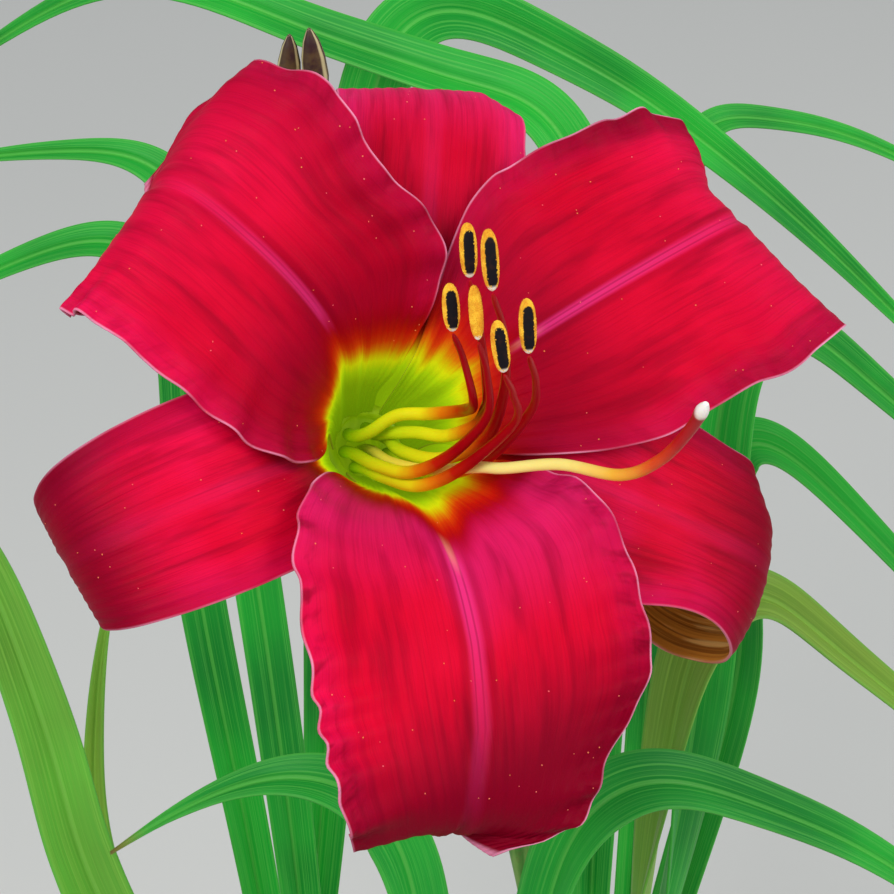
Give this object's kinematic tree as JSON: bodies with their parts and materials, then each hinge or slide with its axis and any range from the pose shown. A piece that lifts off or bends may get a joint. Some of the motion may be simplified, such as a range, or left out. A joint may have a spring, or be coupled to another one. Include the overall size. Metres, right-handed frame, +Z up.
{
  "type": "potted daylily",
  "caption": "Red daylily in flower in a plain terracotta pot: a funnel-shaped bloom and buds on a tall scape over arching strap leaves.",
  "frame": {"origin": "middle of the pot's flat base", "axes": "+Z up, along the pot's axis; the bloom looks towards -Y and up"},
  "size_m": [0.4048, 0.4248, 0.5469],
  "materials": {
    "petal": "soft satin, crimson petal tissue",
    "sepal": "soft satin, crimson sepal tissue",
    "flower_tube": "satin, yellow-green tissue",
    "filament": "satin, red over yellow-green",
    "anther": "dark sac edged with yellow pollen",
    "pistil": "satin, pale yellow to orange-red",
    "stem": "satin green stem",
    "bud": "satin, brown-green bud",
    "leaf": "satin green leaf",
    "crown": "pale plant base",
    "soil": "crumbly dark potting soil",
    "pot": "matt unglazed terracotta"
  },
  "bodies": {
    "root": {"anther_1": "anther", "anther_2": "anther", "anther_3": "anther", "anther_4": "anther", "anther_5": "anther", "anther_6": "anther", "bloom_stalk": "stem", "bud_1": "bud", "bud_2": "bud", "crown_a": "crown", "crown_b": "crown", "crown_c": "crown", "filament_1": "filament", "filament_2": "filament", "filament_3": "filament", "filament_4": "filament", "filament_5": "filament", "filament_6": "filament", "flower_tube": "flower_tube", "leaf_a_1": "leaf", "leaf_a_2": "leaf", "leaf_a_3": "leaf", "leaf_a_4": "leaf", "leaf_a_5": "leaf", "leaf_a_6": "leaf", "leaf_b_1": "leaf", "leaf_b_2": "leaf", "leaf_b_3": "leaf", "leaf_b_4": "leaf", "leaf_b_5": "leaf", "leaf_b_6": "leaf", "leaf_c_1": "leaf", "leaf_c_2": "leaf", "leaf_c_3": "leaf", "leaf_c_4": "leaf", "leaf_c_5": "leaf", "leaf_c_6": "leaf", "leaf_c_7": "leaf", "petal_left": "petal", "petal_low": "petal", "petal_right": "petal", "pistil": "pistil", "pot": "pot", "scape": "stem", "sepal_left": "sepal", "sepal_right": "sepal", "sepal_top": "sepal", "soil": "soil"}
  },
  "joints": []
}
